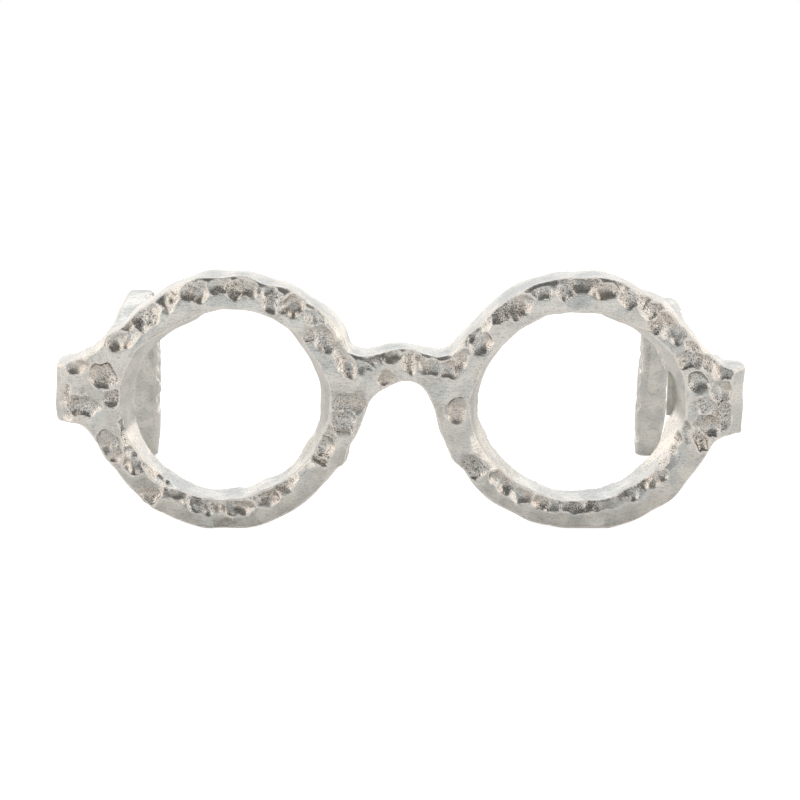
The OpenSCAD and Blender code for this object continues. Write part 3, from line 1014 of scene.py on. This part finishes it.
# The dents of the end pieces and the bridge: x, z, bite, up, side, half length, half width, roll
FRONT_DENTS: tuple[Dent, ...] = (
    Dent(-148.9, 77.1, 0.36, 22.4, -8, 5.1, 3.7),
    Dent(-138.2, 71, 0.42, 22.4, 10, 5.5, 4.8, 60),
    Dent(-147, 65.3, 0.24, 0, 0, 1.7, 1.7),
    Dent(-146.5, 58.2, 0.39, 14, -10, 7.3, 4),
    Dent(-135.4, 62.9, 0.27, 0, 14, 4, 3.5),
    Dent(-129.1, 45.7, 0.36, 0, 16, 5.1, 2, 80),
    Dent(-134, 40.5, 0.3, 0, -16, 5.9, 4.2, 60),
    Dent(-156.3, 60, 0.24, 0, -30, 6.6, 4, 90),
    Dent(136.8, 68.9, 0.3, 16.8, 14, 4, 4.2),
    Dent(138, 79.5, 0.3, 30.8, -10, 4.4, 3.3),
    Dent(145.1, 78, 0.42, 28, -14, 4.4, 4),
    Dent(148.6, 75, 0.45, 16.8, 8, 5.1, 4, 90),
    Dent(142.4, 69, 0.48, 11.2, -22, 5.7, 3.5, 70),
    Dent(148.6, 64.5, 0.42, 11.2, 8, 4.8, 4, 90),
    Dent(141.9, 60.3, 0.33, -6, 0, 6.2, 3.5),
    Dent(142.4, 51.4, 0.36, -19.6, 10, 5.5, 4.2),
    Dent(148.8, 54.5, 0.42, 0, 12, 5.5, 3.6, 90),
    Dent(139.6, 45.4, 0.39, -16.8, 22, 5.5, 2.6, 70),
    Dent(134, 46.9, 0.36, 0, -16, 5.5, 2.2, 80),
    Dent(-17.5, 77, 0.3, 22.4, 0, 4.4, 3.3, 30),
    Dent(-11.8, 79.5, 0.36, 22.4, -8, 5.1, 3.5, 20),
    Dent(-4.5, 81.6, 0.36, 25.2, 0, 5.5, 3.1),
    Dent(5.1, 80, 0.48, 11.2, -22, 3.1, 6.6),
    Dent(8.8, 78.8, 0.3, 14, 20, 2.6, 5.5, -10),
    Dent(14.2, 76.6, 0.36, 25.2, 8, 4.6, 3.5),
    Dent(21.6, 75.8, 0.42, 25.2, 10, 5.5, 4, -10),
    Dent(-5.1, 72.8, 0.21, -22.4, -8, 3.7, 3.3),
    Dent(27.8, 58.2, 0.18, 0, 0, 2, 2),
)


@dataclass(frozen=True)
class Stance:
    """How one temple stands: its toe-in, the height of its ear bend and its twist."""

    toe_in: float
    bend_top: float
    twist: float


STANCES: dict[Side, Stance] = {
    Side.LEFT: Stance(toe_in=1.6, bend_top=99.0, twist=5.5),
    Side.RIGHT: Stance(toe_in=5.4, bend_top=95.0, twist=-1.2),
}


@dataclass
class Temple(Casting):
    """One hooked temple: a swept bar that runs back, bends down behind and ends in a foot.

    tip is how much of the hook's thickness is left at its end, and rise the arm's angle into
    the ear bend. shoulder is how far before the foot, and how far below the bend's top, the
    arm becomes the bend, and hook_below how far below it the bend becomes the hook. pulls are
    the reach of the curves' handles before and after each of these two places.

    The first blow lands first_blow behind the front end, or up to jitter further. The next
    ones follow at spacings drawn from spacing, each of a half length drawn from blow_size,
    with a bite from edge_bite or side_bite and a yaw from yaw.
    """

    side: Side = Side.RIGHT
    thickness: float = 16.6
    root_h: float = 28.0
    arm_h: float = 19.0
    hook_t: float = 14.5
    length: float = 141.0
    hook_lean: float = 8.0
    tip: float = 0.8
    rise: float = 32.0
    shoulder: tuple[float, float] = (34.0, 15.0)
    hook_below: float = 26.0
    pulls: tuple[float, float, float, float] = (28.0, 12.0, 26.0, 24.0)
    foot_z: float = -1.4
    corner: float = 4.5
    wave_length: float = 24.0
    wave_height: float = 0.3
    seat_gap: float = 0.3
    bowl_shade_and_grain: float = 0.15
    first_blow: float = 20.0
    jitter: float = 8.0
    spacing: tuple[float, float] = (13.0, 19.0)
    blow_size: tuple[float, float] = (9.0, 13.0)
    edge_bite: tuple[float, float] = (1.6, 2.0)
    side_bite: tuple[float, float] = (0.28, 0.42)
    yaw: tuple[float, float] = (-14.0, 14.0)
    # Rows of blows: on the top or bottom, on the outside or inside, and the share of the run
    rows: tuple[tuple[int, int, float], ...] = (
        (1, 1, 0.35), (1, -1, 0.35), (-1, 1, 0.3), (-1, -1, 0.3),
        (0, 1, 0.9), (0, -1, 0.9), (1, 0, 0.42),
    )

    def __post_init__(self) -> None:
        """Names the temple and reads its place from the frame."""
        label = self.side.name.lower()
        stance = STANCES[self.side]
        self.toe_in, self.bend_top, self.twist = stance.toe_in, stance.bend_top, stance.twist
        self.name = f"temple_casting_{label}"
        self.body = f"arm_{label}"
        self.node = f"temple_{label}"
        low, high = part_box(self.node)
        self.butt_y = low.y / MM
        self.outer_x = max(abs(low.x), abs(high.x)) / MM
        low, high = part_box(f"hinge_temple_leaf_{label}")
        self.root_z = (low.z + high.z) / 2.0 / MM
        self.seat_half_z = (high.z - low.z) / 2.0 / MM
        self.seat_x = max(abs(low.x), abs(high.x)) / MM
        self.seat_back = high.y / MM
        self.line = self.centre_line()

    @staticmethod
    def curve(p: list[Array], t: Array) -> Array:
        """Points of a cubic curve.

        Args:
            p: its four control points.
            t: the shares of the way along it, from 0 to 1.

        Returns:
            The points, one a row.
        """
        s = 1.0 - t[:, None]
        t = t[:, None]
        return s**3 * p[0] + 3 * t * s**2 * p[1] + 3 * t**2 * s * p[2] + t**3 * p[3]

    def centre_line(self) -> Array:
        """The line through the middle of the bar.

        Returns:
            Rows of y behind the front end, z, share of the run and half height.
        """
        reach = self.length - self.hook_t / 2.0 * self.tip
        rise = np.array([math.cos(math.radians(self.rise)), math.sin(math.radians(self.rise))])
        foot = np.array([reach, self.foot_z])
        hook = np.array([reach - self.hook_lean, self.bend_top - self.hook_below])
        down = (foot - hook) / np.linalg.norm(foot - hook)
        shoulder = np.array([reach - self.shoulder[0], self.bend_top - self.shoulder[1]])
        pulls = self.pulls
        root = np.array([0.0, self.root_z])
        arm = [root, root + np.array([0.29 * self.length, 0.0]), shoulder - pulls[0] * rise, shoulder]
        bend = [shoulder, shoulder + pulls[1] * rise, hook - pulls[2] * down, hook]
        end = [hook, hook + pulls[3] * down, foot - pulls[3] * down, foot]
        t = np.linspace(0.0, 1.0, 24, endpoint=False)
        thinning = self.arm_h + (self.root_h - self.arm_h) * (1.0 - smooth_step(0.0, 1.0, t * 1.6))
        rounding = self.arm_h + (self.hook_t - self.arm_h) * smooth_step(0.0, 1.0, t)
        ending = self.hook_t * (1.0 - (1.0 - self.tip) * t**6)
        line = np.concatenate([
            np.column_stack([self.curve(arm, t), 0.45 * t, thinning / 2.0]),
            np.column_stack([self.curve(bend, t), 0.45 + 0.25 * t, rounding / 2.0]),
            np.column_stack([self.curve(end, t), 0.7 + 0.3 * t, ending / 2.0]),
        ])
        before = line[0] - np.array([8.0, 0.0, 0.0, 0.0])
        after = line[-1] + np.array([down[0] * 8.0, down[1] * 8.0, 0.0, 0.0])
        return np.vstack([before, line, after])

    def bounds(self) -> tuple[Array, Array]:
        """The grid's corners, clear of the temple.

        Returns:
            The lowest and the highest corner.
        """
        wide = self.margin + 1.0
        inner = self.outer_x - self.thickness - self.toe_in - wide
        xs = sorted((self.side.value * inner, self.side.value * (self.outer_x + self.margin)))
        return (
            np.array([xs[0], self.butt_y - self.margin, self.grid_bottom]),
            np.array([xs[1], self.butt_y + self.length + wide, self.bend_top + wide]),
        )

    def inward(self, y: Array, z: Array) -> Array:
        """How far the bar has drawn inwards, y behind its front end and at a height z."""
        turned = self.twist * np.clip((z - 8.0) / (self.bend_top - 8.0), 0.0, 1.0)
        return (self.toe_in + turned) * np.maximum(y, 0.0) / self.length

    def uncut(self, points: Array) -> Array:
        """The field of the bar before the blows.

        Args:
            points: where to work it out.

        Returns:
            The field at each point, negative inside the metal.
        """
        y, z = points[:, 1] - self.butt_y, points[:, 2]
        best = np.full(len(points), 1e9)
        half_h = np.zeros(len(points))
        run = np.zeros(len(points))
        for a, b in zip(self.line[:-1], self.line[1:]):
            dy, dz = b[:2] - a[:2]
            t = np.clip(((y - a[0]) * dy + (z - a[1]) * dz) / (dy * dy + dz * dz), 0.0, 1.0)
            gap = (y - a[0] - t * dy) ** 2 + (z - a[1] - t * dz) ** 2
            closer = gap < best
            best[closer] = gap[closer]
            run[closer] = a[2] + (b[2] - a[2]) * t[closer]
            half_h[closer] = a[3] + (b[3] - a[3]) * t[closer]
        narrow = 1.0 - (1.0 - self.tip) * smooth_step(0.9, 1.0, run)
        middle = self.outer_x - self.thickness / 2.0 - self.inward(y, z)
        flat = np.abs(points[:, 0] * self.side.value - middle) - self.thickness / 2.0 * narrow
        wave = Waviness(11 + self.side.value, self.wave_length, self.wave_height).at(points)
        return rounded_pair(np.sqrt(best) - half_h + 0.2 + wave, flat + 0.1 + wave * 0.6, self.corner)

    def fitted(self, points: Array, values: Array) -> Array:
        """Cuts the front end square, grinds the foot flat and mills the leaf's seat.

        Args:
            points: where to work the field out.
            values: the hammered field there.

        Returns:
            The field after the three cuts.
        """
        y, z = points[:, 1], points[:, 2]
        values = np.maximum(values, self.butt_y - y)
        values = np.maximum(values, -z)
        reach = points[:, 0] * self.side.value - self.seat_x
        deep = y - self.seat_back - self.seat_gap
        tall = np.abs(z - self.root_z) - self.seat_half_z - self.seat_gap
        return np.maximum(values, -np.maximum(np.maximum(reach, deep), tall))

    def blows(self) -> list[Blow]:
        """Hammering along the four edges, the broad sides and the top of the bar.

        Returns:
            The blows, each row of them over a share of the run from the front end.
        """
        rng = np.random.default_rng(50 + self.side.value)
        made = []
        steps = np.hypot(*np.diff(self.line[:, :2], axis=0).T)
        run = np.concatenate([[0.0], np.cumsum(steps)])
        for up, out, share in self.rows:
            at = self.first_blow + rng.uniform(0.0, self.jitter)
            end = run[-1] * share
            while at < end:
                made.append(self.blow(np.interp(at, run, np.arange(len(run))), up, out, rng))
                at += rng.uniform(*self.spacing)
        return made

    def blow(self, place: float, up: int, out: int, rng: np.random.Generator) -> Blow:
        """Places one blow on the bar.

        Args:
            place: which point of the centre line, as a fractional index.
            up: 1 on the upper or back edge, -1 on the lower or front edge, 0 between.
            out: 1 on the outer side, -1 on the inner side, 0 between.
            rng: the draw of the blow's own size.

        Returns:
            The blow.
        """
        i = int(place)
        here = self.line[i] + (self.line[i + 1] - self.line[i]) * (place - i)
        ahead = self.line[i + 1, :2] - self.line[i, :2]
        ahead = ahead / np.linalg.norm(ahead)
        along = np.array([0.0, ahead[0], ahead[1]])
        lift = np.array([0.0, -ahead[1], ahead[0]])
        outward = np.array([float(self.side.value), 0.0, 0.0])
        inset = self.thickness / 2.0 + self.inward(here[0], here[1])
        centre = outward * (self.outer_x - inset) + np.array([0.0, self.butt_y + here[0], here[1]])
        at = centre + lift * up * here[3] + outward * out * self.thickness / 2.0
        yaw = math.radians(rng.uniform(*self.yaw))
        facing = lift * up + outward * out
        facing = facing / np.linalg.norm(facing)
        facing, along = (
            math.cos(yaw) * facing + math.sin(yaw) * along,
            math.cos(yaw) * along - math.sin(yaw) * facing,
        )
        size = rng.uniform(*self.blow_size)
        bite = rng.uniform(*(self.edge_bite if up and out else self.side_bite))
        return Blow(at, facing, along, size, size * 1.1, bite)


class Value:
    """A shader socket that takes part in Python arithmetic by adding Math nodes."""

    def __init__(self, shader: "Shader", socket: bpy.types.NodeSocket) -> None:
        """Wraps one output socket of a shader's tree."""
        self.shader = shader
        self.socket = socket

    def _math(self, operation: str, *terms: "Value | float", clamp: bool = False) -> "Value":
        """Adds one Math node."""
        settings = {"operation": operation, "use_clamp": clamp}
        return self.shader.node("ShaderNodeMath", settings, dict(enumerate(terms)))

    def __add__(self, other: "Value | float") -> "Value":
        """The sum."""
        return self._math("ADD", self, other)

    __radd__ = __add__

    def __sub__(self, other: "Value | float") -> "Value":
        """The difference."""
        return self._math("SUBTRACT", self, other)

    def __rsub__(self, other: float) -> "Value":
        """The difference from a number."""
        return self._math("SUBTRACT", other, self)

    def __mul__(self, other: "Value | float") -> "Value":
        """The product."""
        return self._math("MULTIPLY", self, other)

    __rmul__ = __mul__

    def clamped(self) -> "Value":
        """The value held between 0 and 1."""
        return self._math("ADD", self, 0.0, clamp=True)

    def ramp(self, low: float, high: float) -> "Value":
        """A smooth rise from 0 at low to 1 at high.

        Args:
            low: where it is 0.
            high: where it is 1. A value below low makes it a fall.

        Returns:
            The rise.
        """
        if low > high:
            return 1.0 - self.ramp(high, low)
        settings = {"interpolation_type": "SMOOTHSTEP"}
        inputs = {"Value": self, "From Min": low, "From Max": high}
        return self.shader.node("ShaderNodeMapRange", settings, inputs)


class Shader:
    """The node tree of one material or world."""

    def __init__(self, owner: bpy.types.Material | bpy.types.World) -> None:
        """Empties the owner's tree."""
        owner.use_nodes = True
        self.tree = owner.node_tree
        self.tree.nodes.clear()

    def node(
        self, kind: str, settings: dict[str, object], inputs: dict[object, object], output: object = 0
    ) -> Value | None:
        """Adds any node.

        Args:
            kind: the node's type.
            settings: its own settings, set before its sockets.
            inputs: values or links by socket name or number.
            output: which of its outputs to return.

        Returns:
            The chosen output, or nothing for a node without outputs.
        """
        made = self.tree.nodes.new(kind)
        for name, value in settings.items():
            setattr(made, name, value)
        for name, value in inputs.items():
            socket = made.inputs[name]
            if isinstance(value, Value):
                self.tree.links.new(value.socket, socket)
            else:
                socket.default_value = value
        return Value(self, made.outputs[output]) if len(made.outputs) else None

    def mixed(self, share: Value | float, a: object, b: object) -> Value:
        """A colour between a and b, at a share from a."""
        return self.node("ShaderNodeMix", {"data_type": "RGBA"}, {0: share, 6: a, 7: b}, output=2)

    def noise(self, place: Value, scale: float, detail: float = 3.0, rough: float = 0.5) -> Value:
        """Fractal noise from about 0 to 1, scale in features per metre."""
        inputs = {"Vector": place, "Scale": scale, "Detail": detail, "Roughness": rough}
        return self.node("ShaderNodeTexNoise", {}, inputs)

    def cells(self, place: Value, scale: float) -> Value:
        """The distance to the nearest of scattered points, in spacings."""
        return self.node("ShaderNodeTexVoronoi", {}, {"Vector": place, "Scale": scale})

    def mark(self, name: str) -> Value:
        """A mark that the mesh carries."""
        return self.node("ShaderNodeAttribute", {"attribute_name": name}, {}, output="Fac")

    def place(self) -> Value:
        """The point in the object's own frame, in metres."""
        return self.node("ShaderNodeTexCoord", {}, {}, output="Object")

    def metal(
        self, base: Value, rough: Value, height: Value, relief: float, metallic: Value | float = 1.0
    ) -> None:
        """Ends a metal's tree.

        Args:
            base: its colour.
            rough: its roughness.
            height: the height of its fine relief.
            relief: how many millimetres one unit of that height is.
            metallic: how much it mirrors like metal and doesn't scatter.
        """
        bump = self.node("ShaderNodeBump", {}, {"Strength": 1.0, "Distance": relief * MM, "Height": height})
        inputs = {"Base Color": base, "Roughness": rough, "Metallic": metallic, "Normal": bump}
        surface = self.node("ShaderNodeBsdfPrincipled", {}, inputs)
        self.node("ShaderNodeOutputMaterial", {}, {"Surface": surface})


def tone(red: float, green: float, blue: float) -> tuple[float, float, float, float]:
    """A screen colour as a linear colour for a socket.

    Args:
        red: its red, from 0 to 255.
        green: its green.
        blue: its blue.

    Returns:
        The linear colour, with full opacity.
    """
    def linear(c: float) -> float:
        """One channel on the screen as linear light."""
        c /= 255.0
        return c / 12.92 if c <= 0.04045 else ((c + 0.055) / 1.055) ** 2.4

    return (linear(red), linear(green), linear(blue), 1.0)


@dataclass(frozen=True)
class CastAluminium:
    """Hammered cast aluminium, satin on the high faces, pebbly in the bowls and with shade painted
    into them.

    The colours are those of the crests, with a highlight painted over their wear, and of the
    glints painted in the bowls; of the high faces where they are bright and where they are plain;
    of the brown tint in the bowls; and of the shade painted into the bowls and hollows, which
    also darkens the pits, grit and streaks. A scale counts features per metre, and relief is the
    height of the fine relief in millimetres.
    """

    name: str = "cast_aluminium"
    # Colour of the highlight painted along the crests, over their wear, and of the glints painted in the
    # bowls
    wear_and_highlight: tuple[float, float, float] = (250, 249, 247)
    bright: tuple[float, float, float] = (234, 235, 232)
    plain: tuple[float, float, float] = (214, 217, 216)
    brown: tuple[float, float, float] = (206, 194, 181)
    # Colour of the shade painted into the bowls and hollows, also of the pits, grit and streaks
    dark: tuple[float, float, float] = (84, 81, 77)
    blotch_scale: float = 110.0
    patch_scale: float = 75.0
    pebble_scale: float = 1300.0
    grit_scale: float = 1700.0
    streak_scale: float = 1200.0
    pit_scale: float = 140.0
    relief: float = 0.1

    def material(self) -> bpy.types.Material:
        """Builds the finish.

        Returns:
            The new material.
        """
        made = bpy.data.materials.new(self.name)
        s = Shader(made)
        place = s.place()
        bowl, ridge = s.mark("bowl"), s.mark("ridge")
        blotch = s.noise(place, self.blotch_scale)
        patch = s.noise(place, self.patch_scale, 1.0)
        pebble = s.noise(place, self.pebble_scale, 2.0, 0.65)
        grit = s.noise(place, self.grit_scale, 2.0, 0.7)
        brushed = s.node("ShaderNodeVectorMath", {"operation": "MULTIPLY"}, {0: place, 1: (0.35, 1.0, 1.0)})
        streak = s.noise(brushed, self.streak_scale, 2.0, 0.6)
        # The bowls' floors in patches, where their pebbling, painted shade and painted glints show
        bowl_patch = (bowl * (0.35 + 0.65 * patch.ramp(0.42, 0.56))).clamped()
        crest = ridge.ramp(0.56, 0.7)
        hollow = ridge.ramp(0.42, 0.15)
        pits = s.cells(place, self.pit_scale).ramp(0.07, 0.04) * s.noise(place, 50.0, 1.0).ramp(0.57, 0.62)
        base = s.mixed(blotch.ramp(0.4, 0.62), tone(*self.plain), tone(*self.bright))
        base = s.mixed(bowl * blotch.ramp(0.4, 0.6) * 0.5, base, tone(*self.brown))
        # Painted shade: dark speckle over the bowls' floors and darkening in the hollows of the skin; with
        # it the dark pits, grit and streaks of the surface itself
        shade_and_grime = bowl_patch * pebble.ramp(0.47, 0.38) * 0.7 + hollow * 0.35 + pits * 0.6
        shade_and_grime = shade_and_grime + grit.ramp(0.5, 0.36) * (0.2 + 0.35 * bowl_patch) + streak.ramp(0.5, 0.3) * 0.25
        base = s.mixed(shade_and_grime.clamped(), base, tone(*self.dark))
        # Painted highlight: the crests turn near white, partly as wear, and the grit gives painted white
        # glints, most in the bowls
        painted_highlight = crest * 0.8 + grit.ramp(0.55, 0.64) * (0.08 + 0.8 * bowl_patch)
        base = s.mixed(painted_highlight.clamped(), base, tone(*self.wear_and_highlight))
        rough = 0.14 + 0.07 * blotch - 0.03 * bowl_patch - 0.02 * crest
        height = pebble * (0.35 + bowl_patch * 0.9) + grit * (0.6 + bowl_patch * 0.9) + streak * 0.6 - pits * 1.2
        # The crests lose most of their metal, so that their painted highlight shows white whatever they
        # mirror
        s.metal(base, rough, height, self.relief, 1.0 - 0.9 * crest)
        return made


@dataclass(frozen=True)
class PlatedSteel:
    """Plated steel of the hinge hardware, with fine marks.

    A stretch below 1 draws the marks out along the height, and one above 1 across it.
    """

    name: str
    colour: tuple[float, float, float]
    stretch: float
    line_scale: float = 2600.0
    blotch_scale: float = 260.0
    relief: float = 0.03

    def material(self) -> bpy.types.Material:
        """Builds the finish.

        Returns:
            The new material.
        """
        made = bpy.data.materials.new(self.name)
        s = Shader(made)
        place = s.place()
        settings = {"operation": "MULTIPLY"}
        stretched = s.node("ShaderNodeVectorMath", settings, {0: place, 1: (1.0, 1.0, self.stretch)})
        lines = s.noise(stretched, self.line_scale, 3.0, 0.6)
        blotch = s.noise(place, self.blotch_scale)
        wear_and_highlight = tuple(c * 0.86 for c in self.colour)
        base = s.mixed(blotch.ramp(0.3, 0.7), tone(*self.colour), tone(*wear_and_highlight))
        s.metal(base, 0.24 + 0.16 * lines + 0.08 * blotch, lines, self.relief)
        return made


@dataclass
class Hardware:
    """The hinge leaves, pins and screws, whose shapes come from the frame."""

    leaf: PlatedSteel = PlatedSteel("plated_leaf", (205, 204, 198), 0.15)
    turned: PlatedSteel = PlatedSteel("turned_steel", (214, 213, 209), 6.0)

    def dress(self) -> None:
        """Gives each piece its finish."""
        leaf, turned = self.leaf.material(), self.turned.material()
        for name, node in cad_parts.items():
            if "screws" in name or "pin" in name:
                finish = turned
            elif "leaf" in name:
                finish = leaf
            else:
                continue
            node.data.materials.clear()
            node.data.materials.append(finish)
            LOG.info("dressed %s", name)


@dataclass
class Studio:
    """The floor, the light and the camera.

    The colours are linear light. The floor's are those that all but the camera's rays see near the
    object, darker there as a painted shadow of the object, and far off; the world's are those of
    each direction that the metal mirrors.
    """

    distance: float = 575.0
    pitch: float = 11.0
    aim_z: float = 62.0
    lens: float = 55.8
    front_y: float = -79.2
    floor_half: float = 3000.0
    white: tuple[float, ...] = (1.0, 1.0, 1.0, 1.0)
    floor_painted_shadow: tuple[float, ...] = (0.77, 0.77, 0.76, 1.0)
    floor_far: tuple[float, ...] = (0.91, 0.915, 0.915, 1.0)
    front: tuple[float, ...] = (0.8, 0.82, 0.82, 1.0)
    front_low: tuple[float, ...] = (0.38, 0.352, 0.325, 1.0)
    overhead: tuple[float, ...] = (0.19, 0.182, 0.172, 1.0)
    back_low: tuple[float, ...] = (1.18, 1.13, 1.08, 1.0)
    back_high: tuple[float, ...] = (0.95, 0.945, 0.94, 1.0)
    back_strip: tuple[float, ...] = (1.32, 1.295, 1.265, 1.0)
    sides: tuple[float, ...] = (1.38, 1.25, 1.14, 1.0)

    def build(self) -> None:
        """Makes all of it."""
        self.floor()
        self.light()
        self.camera()

    def floor(self) -> None:
        """A wide pale floor that the camera sees as white, with the object's shadow."""
        half = self.floor_half * MM
        mesh = bpy.data.meshes.new("floor")
        corners = [(-half, -half, 0), (half, -half, 0), (half, half, 0), (-half, half, 0)]
        mesh.from_pydata(corners, [], [(0, 1, 2, 3)])
        made = bpy.data.objects.new("floor", mesh)
        bpy.context.scene.collection.objects.link(made)
        paint = bpy.data.materials.new("pale_floor")
        s = Shader(paint)
        seen = s.node("ShaderNodeLightPath", {}, {}, output="Is Camera Ray")
        far = s.node("ShaderNodeVectorMath", {"operation": "LENGTH"}, {0: s.place()}, output="Value")
        # Painted shadow: for the rays that the metal mirrors, the floor darkens towards the object
        colour = s.mixed(far.ramp(0.12, 0.6), self.floor_painted_shadow, self.floor_far)
        colour = s.mixed(seen, colour, self.white)
        matt = s.node("ShaderNodeBsdfDiffuse", {}, {"Color": colour})
        white = s.node("ShaderNodeEmission", {}, {"Color": self.white, "Strength": 1.3})
        share = seen * (0.72 + 0.28 * far.ramp(0.16, 0.28))
        surface = s.node("ShaderNodeMixShader", {}, {0: share, 1: matt, 2: white})
        s.node("ShaderNodeOutputMaterial", {}, {"Surface": surface})
        mesh.materials.append(paint)

    def light(self) -> None:
        """Soft light from all round: dark overhead in front, bright behind, warm at the sides."""
        world = bpy.data.worlds.new("studio")
        bpy.context.scene.world = world
        s = Shader(world)
        heading = s.node("ShaderNodeTexCoord", {}, {}, output="Generated")
        x, y, z = (s.node("ShaderNodeSeparateXYZ", {}, {0: heading}, output=k) for k in range(3))
        back = s.mixed(z.ramp(0.2, 0.6), self.back_low, self.back_high)
        back = s.mixed(z.ramp(0.62, 0.74) * z.ramp(0.94, 0.86), back, self.back_strip)
        sky = s.mixed(y.ramp(-0.2, 0.2), self.front, back)
        sky = s.mixed((x * x).ramp(0.2, 0.38), sky, self.sides)
        front = y.ramp(0.1, -0.15) * (x * x).ramp(0.34, 0.14)
        sky = s.mixed(z.ramp(0.02, 0.2) * front * 0.8, sky, self.front_low)
        sky = s.mixed(z.ramp(0.42, 0.52) * front, sky, self.overhead)
        seen = s.node("ShaderNodeLightPath", {}, {}, output="Is Camera Ray")
        sky = s.mixed(seen, sky, self.white)
        shine = s.node("ShaderNodeBackground", {}, {"Color": sky, "Strength": 1.0})
        s.node("ShaderNodeOutputWorld", {}, {"Surface": shine})
        bpy.context.scene.view_settings.view_transform = "Standard"

    def camera(self) -> None:
        """A camera a little above the rims, looking down at them."""
        data = bpy.data.cameras.new("camera")
        data.sensor_width = 36.0
        data.lens = self.lens
        data.clip_end = 50.0
        made = bpy.data.objects.new("camera", data)
        bpy.context.scene.collection.objects.link(made)
        pitch = math.radians(self.pitch)
        aim = Vector((0.0, self.front_y, self.aim_z)) * MM
        back = Vector((0.0, -math.cos(pitch), math.sin(pitch)))
        made.location = aim + back * self.distance * MM
        made.rotation_mode = "QUATERNION"
        made.rotation_quaternion = (-back).to_track_quat("-Z", "Y")
        bpy.context.scene.camera = made


def main() -> None:
    """Builds every piece and reports it."""
    logging.basicConfig(level=logging.INFO, format="%(asctime)s %(name)s: %(message)s")
    finish = CastAluminium().material()
    for casting in (FrontCasting(), Temple(side=Side.LEFT), Temple(side=Side.RIGHT)):
        made = casting.build()
        made.data.materials.append(finish)
        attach(made, casting.body)
        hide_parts(casting.node)
        LOG.info("%s: %d faces", casting.name, len(made.data.polygons))
    Hardware().dress()
    Studio().build()


if __name__ == "__main__":
    main()
